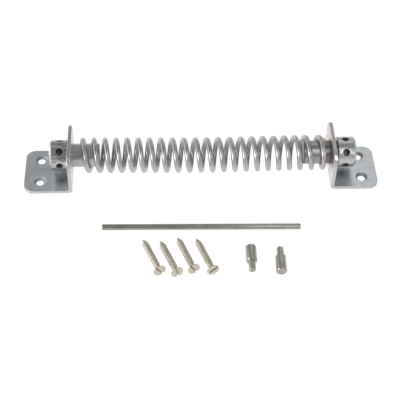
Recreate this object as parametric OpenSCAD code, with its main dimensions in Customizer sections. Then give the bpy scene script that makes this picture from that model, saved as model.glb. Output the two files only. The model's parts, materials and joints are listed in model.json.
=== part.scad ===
// Gate spring closer: a torsion spring between two screw-on brackets, with the loose
// pieces of its kit beside it: a tommy bar, two locking pins and four wood screws.
// The origin is midway between the left bracket's screw holes, on the mounting face.
// +X runs along the spring to the right bracket and +Z points away from the mounting face.

/* [Brackets] */
// Clear distance between the two uprights
span = 200; // [170:1:300]
// Length of a foot, from its outer edge to the spring side of its upright
foot_len = 38; // [36:0.5:60]
// Width of the foot and of the upright
bracket_w = 44; // [38:0.5:60]
// Height of the upright above the mounting face
upright_h = 34.4; // [32:0.1:50]
// Thickness of the plate
plate_t = 2.8; // [2:0.1:4]
// Radius of the plate's four free corners
corner_r = 7.5; // [2:0.5:10]
// Inside radius of the bend
bend_r = 0.6; // [0.2:0.1:2]
// Distance from the foot's outer edge to its screw holes
hole_inset = 12.3; // [9:0.1:14]
// Distance between the two screw holes of a foot
hole_spacing = 23; // [18:0.5:28]
// Height of the spring's axis above the mounting face
axis_h = 19.3; // [17:0.1:22]

/* [Winding spindles] */
// Diameter of the drum that the bar turns
drum_d = 23.5; // [20:0.5:28]
// Length of the drum
drum_len = 14; // [13:0.5:20]
// Bevel on the drum's outer rim
drum_bevel = 1.5; // [0.4:0.1:2.5]
// Bevel on the drum's inner rim, beside the upright
inner_bevel = 0.4; // [0.1:0.1:1]
// Winding holes round a drum, drilled to its middle
winding_holes = 6; // [3:1:6]
// Distance from the drum's outer face to its winding holes
winding_inset = 8; // [6:0.1:9]
// Angle of the left drum's first hole, up from the front
left_hole_angle = 61; // [0:1:72]
// Angle of the right drum's first hole, up from the front
right_hole_angle = 43; // [0:1:72]
// Length of the shank past the upright, inside the spring
shank_reach = 21; // [15:0.5:30]
// Bevel on the shank's free end
shank_bevel = 0.6; // [0.2:0.1:1.5]

/* [Spring] */
// Outside diameter of the coil
spring_od = 27.7; // [25:0.1:29]
// Diameter of the wire
wire_d = 4; // [3:0.1:5]
// Turns between the two anchored ends
turns = 22; // [12:1:26]
// Distance from the left upright to the left end of the wire
left_anchor = 7.4; // [5:0.1:12]
// Distance from the right upright to the right end of the wire
right_anchor = 4.1; // [3.8:0.1:12]
// How far the last turn is pushed toward the right bracket
last_turn_shift = 2.6; // [0:0.1:3]
// How far the middle of the spring sags
coil_sag = 1.2; // [0:0.1:3]

/* [Tommy bar] */
// Diameter of the bar
bar_d = 4.5; // [3.5:0.1:6]
// Length of the bar
bar_len = 149; // [100:1:200]
// Bevel on the bar's ends
bar_bevel = 0.4; // [0.1:0.1:1]

/* [Locking pins] */
// Diameter of a pin's body
pin_body_d = 8; // [6.5:0.1:9]
// Length of a pin's body
pin_body_len = 14.1; // [8:0.1:20]
// Diameter of the nose that enters a winding hole
pin_nose_d = 5.1; // [3.5:0.1:5.5]
// Length of the nose
pin_nose_len = 8.2; // [5:0.1:12]
// Bevel on a pin's edges
pin_bevel = 0.6; // [0.2:0.1:1]

/* [Wood screws] */
// Length of a screw with its head
screw_len = 34.2; // [25:0.1:45]
// Diameter over the thread
screw_d = 5; // [4.2:0.1:5.5]
// Diameter at the root of the thread
screw_core_d = 3.8; // [2.8:0.1:4.4]
// Distance between neighbouring threads
thread_pitch = 2.2; // [1.4:0.1:2.8]
// Diameter of the head
head_d = 9.3; // [8:0.1:10.5]
// Height of the straight rim round the head
head_rim = 0.5; // [0.1:0.05:0.8]
// Plain neck between the head and the thread
neck_len = 1.4; // [0.5:0.1:6]
// Length of the pointed tip
tip_len = 4.5; // [3:0.5:9]
// Width of the driver slot
slot_w = 1.5; // [0.8:0.1:1.6]
// Depth of the driver slot
slot_depth = 1.2; // [0.6:0.1:1.6]

/* [Fits] */
// Gap on the radius between a shank and the bore it turns in
bore_clearance = 0.3; // [0.05:0.05:0.5]
// Gap between the left drum and its upright
left_float = 0.3; // [0.1:0.05:0.8]
// Gap between the right drum and its upright
right_float = 2.5; // [0.1:0.1:4]
// Gap on the radius between a shank and the coil round it
shank_clearance = 0.6; // [0.4:0.05:1]
// Gap on the radius between the wire's hooked end and the hole it goes into
hook_clearance = 0.25; // [0.15:0.05:0.5]
// Gap on the radius round whatever goes into a winding hole
winding_clearance = 0.2; // [0.1:0.05:0.4]
// Gap on the radius round a screw in its hole
screw_clearance = 0.6; // [0.2:0.05:1]

/* [Loose pieces] */
// From the feet's front edge to the bar
bar_gap = 38.1; // [15:0.1:80]
// From the feet's front edge to the middle of the pins
pin_gap = 71.6; // [50:0.1:120]
// From the feet's front edge to the screws' heads
screw_gap = 81.5; // [60:0.1:130]

/* [Hidden] */

$fn = 96;
// How far a cutting shape runs past the face it cuts
margin = 1;
// The most of a plate that a countersink takes, and of a step that a bevel takes
sink_share = 0.8;
bevel_share = 0.8;

// Brackets
face_x = foot_len - hole_inset;
mid_x = face_x + span / 2;
outer_bend_r = bend_r + plate_t;
hole_d = screw_d + 2 * screw_clearance;
sink_depth = min((head_d - hole_d) / 2, plate_t * sink_share);
front_y = -bracket_w / 2;

// Spring: 8 rings of 6 points a turn, the rings a little outside the true radius
// so that the straight runs between them keep the coil's mean size
rings_per_turn = 8;
wire_sides = 6;
half_step = 180 / rings_per_turn;
ring_r = (spring_od - wire_d) / (1 + cos(half_step));
wire_inner_r = ring_r * cos(half_step) - wire_d / 2 * cos(180 / wire_sides);
left_end_x = face_x + left_anchor;
pitch = (span - left_anchor - right_anchor) / turns;
hook_bend_r = 0.7 * wire_d;
hook_len = 1.4 * wire_d;
hook_steps = 3;
hook_tip_y = ring_r - hook_bend_r - hook_len;
// Turns before the right end at which the last turn's shift starts and is whole
shift_start = 1.75;
shift_whole = 0.75;
// How far the coils wander from an even pitch, as waves of one and of two half lengths
coil_wander = [1.3, -1.1];
// How far the coil hangs on the shanks, below their axis, within their clearance
hang_share = 0.4;
coil_hang = hang_share * shank_clearance;

// Spindles
shank_d = 2 * (wire_inner_r - shank_clearance);
bore_d = shank_d + 2 * bore_clearance;
anchor_d = wire_d + 2 * hook_clearance;
winding_hole_d = max(bar_d, pin_nose_d) + 2 * winding_clearance;
// The winding holes run together in a round hollow at the middle of the drum
hollow_rim = 0.1;
hollow_r = winding_hole_d / 2 / sin(180 / winding_holes) + hollow_rim;

// Loose pieces: each lies on the mounting plane, measured along X from the middle of the span
bar_x = -2.1;
bar_turn = -0.9;
// Each pin's X, its distance from the pins' common line, and its turn about Z
pin_x = [33.1, 54.4];
pin_offset = [0.8, -0.8];
pin_turn = [179.3, -2];
// Each screw's X, the distance of its head from the heads' common line,
// its turn about Z, and the turn of its slot
screw_x = [-34, -21.5, -9.3, 4.5];
screw_offset = [0.3, -1.5, 1.2, 0];
screw_turn = [20.8, 20.4, 19.1, 19.1];
slot_turn = [56, 80, 58, -34];

// Screws
head_r = head_d / 2;
thread_r = screw_d / 2;
core_r = screw_core_d / 2;
cone_end_z = head_rim + head_r - core_r;
thread_start_z = cone_end_z + neck_len;
thread_turns = floor((screw_len - thread_start_z) / thread_pitch - 0.5);
// Where a ridge's flat crest starts and ends and where the ridge ends, as shares of the pitch
crest_start = 0.4;
crest_end = 0.5;
ridge_end = 0.9;
lie_tilt = atan((head_r - thread_r) / (screw_len - tip_len - head_rim));
lie_height = head_r * cos(lie_tilt) + head_rim * sin(lie_tilt);

zinc = "#a9adb1";
bright_zinc = "#c3c6c8";
plain_steel = "#85827c";
pin_steel = "#98958e";
nickel = "#b9b5a8";

// Everything inside is mirrored to the other end of the span
module at_right_end() {
    translate([2 * mid_x, 0, 0]) mirror([1, 0, 0]) children();
}

// A solid of revolution along X, from a profile of [radius, distance] points
module turned_along_x(profile) {
    rotate([0, 90, 0]) rotate_extrude() polygon(profile);
}

// What lies outside the quarter circle at a plate's corner, the corner at the origin
module corner_waste() {
    difference() {
        translate([-corner_r, -corner_r]) square(corner_r + margin);
        translate([-corner_r, -corner_r]) circle(corner_r);
    }
}

// The folded plate seen from the front: the foot, the upright and the bend between them
module side_profile() {
    inner_x = face_x - plate_t;
    difference() {
        union() {
            translate([-hole_inset, 0]) square([foot_len, plate_t]);
            translate([inner_x, 0]) square([plate_t, upright_h]);
            translate([inner_x - bend_r, plate_t - bend_r]) square(2 * bend_r);
        }
        translate([inner_x - bend_r, plate_t + bend_r]) circle(bend_r);
        translate([face_x - outer_bend_r, outer_bend_r]) difference() {
            translate([0, -outer_bend_r - margin]) square(outer_bend_r + margin);
            circle(outer_bend_r);
        }
    }
}

module screw_hole() {
    translate([0, 0, -margin]) cylinder(h = plate_t + 2 * margin, d = hole_d);
    translate([0, 0, plate_t - sink_depth])
        cylinder(h = sink_depth + margin, d1 = hole_d, d2 = hole_d + 2 * (sink_depth + margin));
}

// A foot that is screwed down and an upright that carries one spindle
module bracket() {
    difference() {
        translate([0, bracket_w / 2, 0]) rotate([90, 0, 0]) linear_extrude(bracket_w) side_profile();
        for (side = [0, 1]) mirror([0, side, 0]) {
            translate([0, hole_spacing / 2, 0]) screw_hole();
            translate([-hole_inset, bracket_w / 2, -margin]) mirror([1, 0, 0])
                linear_extrude(plate_t + 2 * margin) corner_waste();
            translate([face_x - plate_t - margin, bracket_w / 2, upright_h]) rotate([90, 0, 90])
                linear_extrude(plate_t + 2 * margin) corner_waste();
        }
        translate([face_x - plate_t - margin, 0, axis_h]) rotate([0, 90, 0])
            cylinder(h = plate_t + 2 * margin, d = bore_d);
    }
}

module left_bracket() {
    color(zinc) bracket();
}

module right_bracket() {
    color(zinc) at_right_end() bracket();
}

// A drum with winding holes and a shank that carries one end of the spring.
// end_float is the gap between the drum and its upright.
// hook_side is the side of the axis, up or down, on which the wire's end goes in.
module spindle(end_float, hole_angle, anchor, hook_side) {
    rim_r = drum_d / 2;
    shank_r = shank_d / 2;
    outer_x = face_x - plate_t - end_float - drum_len;
    whole_len = face_x + shank_reach - outer_x;
    inner_step = min(inner_bevel, (rim_r - shank_r) * bevel_share);
    profile = [
        [0, 0],
        [rim_r - drum_bevel, 0],
        [rim_r, drum_bevel],
        [rim_r, drum_len - inner_step],
        [rim_r - inner_step, drum_len],
        [shank_r, drum_len],
        [shank_r, whole_len - shank_bevel],
        [shank_r - shank_bevel, whole_len],
        [0, whole_len]
    ];
    translate([0, 0, axis_h]) difference() {
        translate([outer_x, 0, 0]) turned_along_x(profile);
        translate([outer_x + winding_inset, 0, 0]) {
            sphere(hollow_r);
            for (hole = [0 : winding_holes - 1])
                rotate([90 - hole_angle - hole * 360 / winding_holes, 0, 0])
                    translate([0, 0, hollow_r / 2]) cylinder(h = rim_r, d = winding_hole_d);
        }
        translate([face_x + anchor, hook_tip_y - hook_clearance, hook_side * hook_bend_r])
            rotate([-90, 0, 0]) cylinder(h = ring_r, d = anchor_d);
    }
}

module left_spindle() {
    color(bright_zinc) spindle(left_float, left_hole_angle, left_anchor, -1);
}

module right_spindle() {
    color(bright_zinc) at_right_end() spindle(right_float, right_hole_angle, right_anchor, 1);
}

// Eases from 0 to 1 as u goes from 0 to 1
function eased(u) = let (c = max(0, min(1, u))) c * c * (3 - 2 * c);

// How far the wire lies from an even pitch, a number of turns from its left end
function wander(t) = coil_wander[0] * sin(180 * t / turns) + coil_wander[1] * sin(360 * t / turns);

// How far the last turn is pushed to the right
function end_shift(t) = last_turn_shift * (
    eased((t - turns + shift_start) / (shift_start - shift_whole))
    - eased((t - turns + shift_whole) / shift_whole)
);

// Distance of the wire along X
function wire_x(t) = left_end_x + pitch * t + wander(t) + end_shift(t);

// How far the coil lies below the axis: it drops onto the shanks within a turn, and sags between them
function coil_drop(t) = coil_hang * eased(t) * eased(turns - t) + coil_sag * pow(sin(180 * t / turns), 2);

// Middle of the wire at the back of the coil at 0 turns, then over the top to the front
function wire_point(t) = [
    wire_x(t),
    ring_r * cos(360 * t),
    axis_h - coil_drop(t) + ring_r * sin(360 * t)
];

// The hooked end, from its tip in the shank to where it meets the coil at the back
function hook(end_x, side) = concat(
    [[end_x, hook_tip_y, axis_h + side * hook_bend_r]],
    [
        for (k = [0 : hook_steps - 1])
            let (a = 90 * (1 - k / hook_steps))
            [
                end_x,
                ring_r - hook_bend_r + hook_bend_r * cos(a),
                axis_h + side * hook_bend_r * sin(a)
            ]
    ]
);

function backwards(list) = [for (k = [len(list) - 1 : -1 : 0]) list[k]];

wire_path = concat(
    hook(wire_x(0), -1),
    [for (k = [0 : turns * rings_per_turn]) wire_point(k / rings_per_turn)],
    backwards(hook(wire_x(turns), 1))
);

function unit(v) = v / norm(v);

// Direction of a path at one of its points
function heading(path, k) = unit(path[min(k + 1, len(path) - 1)] - path[max(k - 1, 0)]);

// One ring of points round a path, square to it, with a flat side towards the middle of the coil
function ring(path, k, r, sides) =
    let (along = heading(path, k), out = unit(cross(along, [1, 0, 0])), across = cross(out, along))
    [
        for (j = [0 : sides - 1])
            let (a = 360 * (j + 0.5) / sides)
            path[k] + r * (cos(a) * out + sin(a) * across)
    ];

// A closed tube along a path, all in triangles
module tube(path, d, sides) {
    last = len(path) - 1;
    points = [for (k = [0 : last]) each ring(path, k, d / 2, sides)];
    walls = [
        for (k = [0 : last - 1], j = [0 : sides - 1])
            let (a = k * sides + j, b = k * sides + (j + 1) % sides)
            each [[a, b, b + sides], [a, b + sides, a + sides]]
    ];
    start_cap = [for (j = [1 : sides - 2]) [0, j + 1, j]];
    end_cap = [for (j = [1 : sides - 2]) [last * sides, last * sides + j, last * sides + j + 1]];
    polyhedron(points, concat(walls, start_cap, end_cap));
}

// Least gap between stretches of the wire that lie more than half a turn apart
least_gap = min([
    for (a = [0 : len(wire_path) - 1], b = [a + 1 : len(wire_path) - 1])
        if (b - a > rings_per_turn / 2) norm(wire_path[b] - wire_path[a]) - wire_d
]);
echo(str("least gap of the spring to itself: ", least_gap, " mm"));

module spring() {
    color(bright_zinc) tube(wire_path, wire_d, wire_sides);
}

module tommy_bar() {
    bar_r = bar_d / 2;
    profile = [
        [0, 0],
        [bar_r - bar_bevel, 0],
        [bar_r, bar_bevel],
        [bar_r, bar_len - bar_bevel],
        [bar_r - bar_bevel, bar_len],
        [0, bar_len]
    ];
    color(plain_steel) translate([mid_x + bar_x, front_y - bar_gap, bar_r]) rotate([0, 0, bar_turn])
        translate([-bar_len / 2, 0, 0]) turned_along_x(profile);
}

// A stepped pin whose nose points along +Y before it is turned to its place
module locking_pin(k) {
    body_r = pin_body_d / 2;
    nose_r = pin_nose_d / 2;
    pin_len = pin_body_len + pin_nose_len;
    step_bevel = min(pin_bevel, (body_r - nose_r) * bevel_share);
    profile = [
        [0, 0],
        [body_r - pin_bevel, 0],
        [body_r, pin_bevel],
        [body_r, pin_body_len - step_bevel],
        [body_r - step_bevel, pin_body_len],
        [nose_r, pin_body_len],
        [nose_r, pin_len - pin_bevel],
        [nose_r - pin_bevel, pin_len],
        [0, pin_len]
    ];
    color(pin_steel) translate([mid_x + pin_x[k], front_y - pin_gap + pin_offset[k], body_r])
        rotate([0, 0, pin_turn[k] + 90]) translate([-pin_len / 2, 0, 0]) turned_along_x(profile);
}

// A point of a screw's profile, this far from the top of the head, drawn in along the tip
function tapered(r, z) = [r * min(1, (screw_len - z) / tip_len), z];

// A slotted countersunk wood screw that lies on the rim of its head and on its thread
module wood_screw(k) {
    ridges = [
        for (thread = [0 : thread_turns - 1])
            let (z = thread_start_z + thread * thread_pitch)
            each [
                tapered(core_r, z),
                tapered(thread_r, z + crest_start * thread_pitch),
                tapered(thread_r, z + crest_end * thread_pitch),
                tapered(core_r, z + ridge_end * thread_pitch)
            ]
    ];
    head = [[0, 0], [head_r, 0], [head_r, head_rim], [core_r, cone_end_z]];
    profile = concat(head, ridges, [[0, screw_len]]);
    color(nickel) translate([mid_x + screw_x[k], front_y - screw_gap + screw_offset[k], lie_height])
        rotate([0, 0, screw_turn[k]]) rotate([-90 - lie_tilt, 0, 0]) difference() {
            rotate_extrude() polygon(profile);
            rotate([0, 0, slot_turn[k]]) translate([-head_d, -slot_w / 2, -margin])
                cube([2 * head_d, slot_w, slot_depth + margin]);
        }
}

left_bracket();
right_bracket();
left_spindle();
right_spindle();
spring();
tommy_bar();
for (k = [0 : len(pin_x) - 1])
    locking_pin(k);
for (k = [0 : len(screw_x) - 1])
    wood_screw(k);
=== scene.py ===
import json
import math

import bmesh
import bpy
from bpy.props import FloatProperty, FloatVectorProperty, IntProperty, PointerProperty
from bpy.types import Operator, Panel, PropertyGroup
from mathutils import Matrix, Vector


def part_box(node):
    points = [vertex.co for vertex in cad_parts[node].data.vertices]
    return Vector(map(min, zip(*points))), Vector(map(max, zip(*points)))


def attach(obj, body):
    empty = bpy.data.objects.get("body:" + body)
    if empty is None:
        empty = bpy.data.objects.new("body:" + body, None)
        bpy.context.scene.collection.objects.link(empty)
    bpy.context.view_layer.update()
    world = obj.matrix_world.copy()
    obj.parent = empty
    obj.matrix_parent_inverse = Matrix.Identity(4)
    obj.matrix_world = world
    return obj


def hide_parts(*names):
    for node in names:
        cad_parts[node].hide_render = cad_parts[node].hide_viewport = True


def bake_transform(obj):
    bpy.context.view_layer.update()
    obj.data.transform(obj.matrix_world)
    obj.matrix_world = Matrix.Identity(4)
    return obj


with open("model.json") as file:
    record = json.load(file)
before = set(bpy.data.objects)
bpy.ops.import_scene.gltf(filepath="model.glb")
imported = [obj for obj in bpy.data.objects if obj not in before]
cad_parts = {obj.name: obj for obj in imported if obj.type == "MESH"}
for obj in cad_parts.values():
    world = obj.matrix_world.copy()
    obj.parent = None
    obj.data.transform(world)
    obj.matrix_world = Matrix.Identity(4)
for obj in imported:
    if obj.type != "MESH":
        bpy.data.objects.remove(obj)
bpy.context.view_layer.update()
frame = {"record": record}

bl_info = {
    "name": "Gate spring closer",
    "version": (1, 0, 0),
    "blender": (4, 5, 0),
    "location": "3D View > Sidebar > Gate closer",
    "description": "A torsion spring between two plate brackets, with its winding bar, pins and screws",
    "category": "Object",
}

MM = 0.001
# Lengths below this count as none
TINY = 1e-7
QUARTER = math.pi / 2
WHITE = (1.0, 1.0, 1.0, 1.0)

# Places that the frame gives
FOOT_LOW, FOOT_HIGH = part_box("left_bracket")
FACE_X = FOOT_HIGH.x
MID_X = (FOOT_LOW.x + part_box("right_bracket")[1].x) / 2
FRONT_Y = FOOT_LOW.y
DRUM_LOW, DRUM_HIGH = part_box("left_spindle")
RIGHT_DRUM_X = 2 * MID_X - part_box("right_spindle")[1].x
AXIS_Z = (DRUM_LOW.z + DRUM_HIGH.z) / 2
BAR_LOW, BAR_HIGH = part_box("tommy_bar")
MOUNTS = {mount["name"]: mount for mount in frame["record"]["mounts"]}
SCREW_HOLES = MOUNTS["left_screw_holes"]["dims"]
WINDING_HOLE = MOUNTS["left_first_winding_hole"]["dims"]

# Loose pieces: X from the middle of the span, Y from the feet's front edge, turn about Z in degrees
PIN_PLACES = {
    "locking_pin_1": (33.1 * MM, -70.8 * MM, 179.3),
    "locking_pin_2": (54.4 * MM, -72.4 * MM, -2.0),
}
# The same for each screw's head, and then the turn of its slot
SCREW_PLACES = {
    "wood_screw_1": (-34.0 * MM, -81.2 * MM, 20.8, 56.0),
    "wood_screw_2": (-21.5 * MM, -83.0 * MM, 20.4, 80.0),
    "wood_screw_3": (-9.3 * MM, -80.3 * MM, 19.1, 58.0),
    "wood_screw_4": (4.5 * MM, -81.5 * MM, 19.1, -34.0),
}


def length(name, description, default):
    """A size in metres that the sidebar shows."""
    return FloatProperty(name=name, description=description, default=default, unit="LENGTH", precision=5)


def angle(name, description, degrees):
    """An angle that the sidebar shows in degrees."""
    return FloatProperty(name=name, description=description, default=math.radians(degrees), subtype="ANGLE")


def fraction(name, description, default):
    """A share from 0 to 1 that the sidebar shows."""
    return FloatProperty(
        name=name, description=description, default=default, subtype="FACTOR", min=0.0, max=1.0)


def count(name, description, default):
    """A whole number that the sidebar shows."""
    return IntProperty(name=name, description=description, default=default, min=1)


def power(name, description, watts):
    """A light's power that the sidebar shows in watts."""
    return FloatProperty(name=name, description=description, default=watts, subtype="POWER", min=0.0)


def colour(name, description, default):
    """A finish's colour that the sidebar shows."""
    return FloatVectorProperty(
        name=name, description=description, default=default, subtype="COLOR", size=3, min=0.0, max=1.0)


class BracketSizes(PropertyGroup):
    """Sizes of the two plate brackets"""

    plate: length("Plate", "Thickness of the plate", 2.8 * MM)
    corner: length("Corner radius", "Radius of the plate's free corners", 7.5 * MM)
    bend: length("Bend radius", "Inside radius of the bend", 0.6 * MM)
    edge: length("Edge rounding", "Rounding of the pressed edges", 0.35 * MM)
    hole: length("Screw hole", "Diameter of a screw hole", 2 * SCREW_HOLES["hole_r_mm"] * MM)
    spacing: length("Hole spacing", "Distance between the screw holes", SCREW_HOLES["spacing_y_mm"] * MM)
    sink: length("Countersink", "Depth of the countersinks", 1.55 * MM)
    bore: length("Bore", "Diameter of the bore that a spindle turns in", 18.7 * MM)


class SpindleSizes(PropertyGroup):
    """Sizes of the two winding spindles"""

    drum: length("Drum", "Diameter of the drum", DRUM_HIGH.y - DRUM_LOW.y)
    drum_length: length("Drum length", "Length of the drum", 14 * MM)
    drum_bevel: length("Drum bevel", "Bevel on the drum's outer rim", 1.5 * MM)
    inner_bevel: length("Inner bevel", "Bevel on the drum's inner rim", 0.4 * MM)
    shank: length("Shank", "Diameter of the shank", 18.1 * MM)
    shank_bevel: length("Shank bevel", "Bevel on the shank's free end", 0.6 * MM)
    edge: length("Edge rounding", "Rounding of the turned edges", 0.25 * MM)
    holes: count("Winding holes", "Winding holes round a drum", 6)
    hole: length("Winding hole", "Diameter of a winding hole", 2 * WINDING_HOLE["r_mm"] * MM)
    hole_depth: length("Hole depth", "Depth of a winding hole", WINDING_HOLE["length_mm"] * MM)
    inset: length("Hole inset", "From the drum's outer face to the winding holes", 8 * MM)
    mouth: length("Hole mouth", "Depth of the bevel at a winding hole's mouth", 0.15 * MM)
    left_turn: angle("Left holes", "Angle of the left drum's first hole, up from the front", 61)
    right_turn: angle("Right holes", "Angle of the right drum's first hole, up from the front", 43)
    # How far the painted shade goes on each shank, beside its upright
    left_painted_shade: fraction("Left stain", "How far the left shank has darkened", 0.22)
    right_painted_shade: fraction("Right stain", "How far the right shank has darkened", 1.0)
    # How mottled each drum is: random tone, which also paints the left drum darker as painted shade
    left_mottle_and_shade: fraction("Left mottle", "How mottled the left drum is", 1.0)
    right_mottle_and_shade: fraction("Right mottle", "How mottled the right drum is", 0.45)


class SpringSizes(PropertyGroup):
    """Sizes of the torsion spring"""

    outside: length("Outside diameter", "Outside diameter of the coil", 27.7 * MM)
    wire: length("Wire", "Diameter of the wire", 4 * MM)
    turns: count("Turns", "Turns between the two anchored ends", 22)
    left_anchor: length("Left anchor", "From the left upright to the left end of the wire", 7.4 * MM)
    right_anchor: length("Right anchor", "From the right upright to the right end of the wire", 4.1 * MM)
    shift: length("Last turn shift", "How far the last turn is pushed to the right", 2.6 * MM)
    hang: length("Hang", "How far the coil hangs on the shanks, below their axis", 0.24 * MM)
    sag: length("Sag", "How far the middle of the spring sags", 1.2 * MM)
    first_wander: length("First wander", "How far the middle turns lie to the right", 1.3 * MM)
    second_wander: length(
        "Second wander", "How far the left half lies to the right and the right half to the left", -1.1 * MM)
    hook_bend: length("Hook bend", "Radius of the bend into the shank", 2.8 * MM)
    hook_length: length("Hook length", "Straight length of the hook inside the shank", 5.6 * MM)
    hook_play: length("Hook play", "Gap on the radius round the wire in the shank's hole", 0.25 * MM)


class KitSizes(PropertyGroup):
    """Sizes of the loose bar, pins and screws"""

    bar: length("Bar", "Diameter of the tommy bar", BAR_HIGH.z - BAR_LOW.z)
    bar_length: length("Bar length", "Length of the tommy bar", 149 * MM)
    bar_bevel: length("Bar bevel", "Bevel on the bar's ends", 0.4 * MM)
    bar_turn: angle("Bar turn", "Turn of the bar about the vertical", -0.9)
    edge: length("Edge rounding", "Rounding of the edges of the bar and the pins", 0.2 * MM)
    pin_body: length("Pin body", "Diameter of a pin's body", 8 * MM)
    pin_body_length: length("Pin body length", "Length of a pin's body", 14.1 * MM)
    pin_nose: length("Pin nose", "Diameter of a pin's nose", 5.1 * MM)
    pin_nose_length: length("Pin nose length", "Length of a pin's nose", 8.2 * MM)
    pin_bevel: length("Pin bevel", "Bevel on a pin's edges", 0.6 * MM)
    screw_length: length("Screw length", "Length of a screw with its head", 34.2 * MM)
    screw: length("Screw", "Diameter over a screw's thread", 5 * MM)
    screw_core: length("Screw core", "Diameter at the root of the thread", 3.8 * MM)
    thread_pitch: length("Thread pitch", "Distance between neighbouring threads", 2.2 * MM)
    head: length("Screw head", "Diameter of a screw's head", 9.3 * MM)
    head_rim: length("Head rim", "Height of the straight rim round the head", 0.5 * MM)
    neck: length("Neck", "Plain neck between the head and the thread", 1.4 * MM)
    tip: length("Tip", "Length of the pointed tip", 4.5 * MM)
    slot: length("Slot", "Width of the driver slot", 1.5 * MM)
    slot_depth: length("Slot depth", "Depth of the driver slot", 1.2 * MM)
    screw_edge: length("Screw edge", "Rounding of a screw's edges", 0.15 * MM)


class FinishColours(PropertyGroup):
    """Colours of the finishes"""

    zinc: colour("Zinc", "Bright zinc on the brackets", (0.62, 0.64, 0.66))
    zinc_blush: colour("Zinc blush", "Warm tint of the zinc on the uprights", (0.84, 0.74, 0.72))
    sheared: colour("Sheared edge", "Dull zinc on the plates' sheared edges", (0.46, 0.45, 0.40))
    turned: colour("Turned zinc", "Zinc on the turned spindles", (0.57, 0.572, 0.57))
    # Painted shade: a dark colour on the shanks beside the uprights, between each upright and the coil
    stain: colour("Painted shank shade", "Painted shade on the shanks beside the uprights", (0.14, 0.125, 0.12))
    # Painted shade on the walls of the winding holes
    hole: colour("Hole", "Dark shaded walls of the winding holes", (0.34, 0.34, 0.345))
    wire: colour("Spring wire", "Zinc on the spring's wire", (0.50, 0.502, 0.50))
    bar: colour("Bar steel", "Drawn steel of the tommy bar", (0.395, 0.376, 0.343))
    pin: colour("Pin steel", "Turned steel of the locking pins", (0.45, 0.425, 0.38))
    nickel: colour("Screw nickel", "Nickel on the wood screws", (0.555, 0.52, 0.435))
    floor: colour("Floor", "Pale floor under the pieces", (0.90, 0.90, 0.90))


class StageSettings(PropertyGroup):
    """The studio round the object"""

    elevation: angle("Elevation", "Height of the camera above the horizon", 48.02)
    heading: angle("Heading", "Turn of the camera round the object", 3.59)
    roll: angle("Roll", "Roll of the camera", -1.79)
    distance: length("Distance", "Distance of the camera from what it looks at", 805.1 * MM)
    aim_x: length("Aim across", "What the camera looks at, across from the middle of the span", -0.13 * MM)
    aim_y: length("Aim along", "What the camera looks at, back from the spring's axis", -31.15 * MM)
    lens: FloatProperty(
        name="Lens", description="Focal length of the camera", default=94.04, subtype="DISTANCE_CAMERA")
    left_softbox: power("Left light", "Power of the broad soft box on the left", 2.2)
    streak_softbox: power("Streak light", "Power of the soft box that the wire's streaks show", 1.1)
    front_softbox: power("Front light", "Power of the soft box in front", 0.4)
    back_softbox: power("Back light", "Power of the soft box at the back", 0.3)


class CloserSettings(PropertyGroup):
    """Everything that the sidebar shows"""

    bracket: PointerProperty(type=BracketSizes)
    spindle: PointerProperty(type=SpindleSizes)
    spring: PointerProperty(type=SpringSizes)
    kit: PointerProperty(type=KitSizes)
    finish: PointerProperty(type=FinishColours)
    stage: PointerProperty(type=StageSettings)


# Trees of nodes

class Term:
    """A number that nodes work out, so that a formula can be written as one."""

    def __init__(self, tree, socket):
        self.tree = tree
        self.socket = socket

    def math(self, operation, *others):
        """What a node of mathematics makes of this number and others."""
        node = self.tree.nodes.new("ShaderNodeMath")
        node.operation = operation
        for socket, term in zip(node.inputs, (self, *others)):
            feed(self.tree, socket, term)
        return Term(self.tree, node.outputs[0])

    def __add__(self, other):
        return self.math("ADD", other)

    def __sub__(self, other):
        return self.math("SUBTRACT", other)

    def __mul__(self, other):
        return self.math("MULTIPLY", other)

    def __truediv__(self, other):
        return self.math("DIVIDE", other)

    def at_least(self, other):
        return self.math("MAXIMUM", other)

    def at_most(self, other):
        return self.math("MINIMUM", other)

    def ramp(self, start, end, low=0.0, high=1.0, kind="LINEAR"):
        """Goes from low to high as the number goes from start to end, and no further."""
        node = add_node(self.tree, "ShaderNodeMapRange", {
            "Value": self, "From Min": start, "From Max": end, "To Min": low, "To Max": high},
            interpolation_type=kind)
        return Term(self.tree, node.outputs["Result"])

    def eased(self):
        """Eases from 0 to 1 as the number goes from 0 to 1."""
        return self.ramp(0.0, 1.0, kind="SMOOTHSTEP")


def feed(tree, socket, value):
    """Links a term or a socket to a socket, or sets the socket's own value."""
    if isinstance(value, Term):
        tree.links.new(value.socket, socket)
    elif isinstance(value, bpy.types.NodeSocket):
        tree.links.new(value, socket)
    else:
        socket.default_value = value


def feed_inputs(tree, node, inputs):
    """Feeds a node's inputs by name."""
    for name, value in inputs.items():
        feed(tree, node.inputs[name], value)


def add_node(tree, kind, inputs=None, **settings):
    """A node with its settings made and its inputs fed by name."""
    node = tree.nodes.new(kind)
    for name, value in settings.items():
        setattr(node, name, value)
    feed_inputs(tree, node, inputs or {})
    return node


def new_tree(name, kind, inputs, outputs):
    """A group of nodes with named inputs and outputs: the tree, its inputs as terms and its output node."""
    tree = bpy.data.node_groups.new(name, kind)
    for way, sockets in (("INPUT", inputs), ("OUTPUT", outputs)):
        for label, socket_type in sockets.items():
            tree.interface.new_socket(label, in_out=way, socket_type="NodeSocket" + socket_type)
    source = tree.nodes.new("NodeGroupInput")
    given = {label: Term(tree, source.outputs[label]) for label in inputs}
    return tree, given, tree.nodes.new("NodeGroupOutput")


def split(tree, vector):
    """The X, Y and Z of a vector."""
    node = add_node(tree, "ShaderNodeSeparateXYZ", {"Vector": vector})
    return [Term(tree, socket) for socket in node.outputs]


def joined(tree, x, y, z):
    """A vector from its X, Y and Z."""
    return add_node(tree, "ShaderNodeCombineXYZ", {"X": x, "Y": y, "Z": z}).outputs["Vector"]


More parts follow.
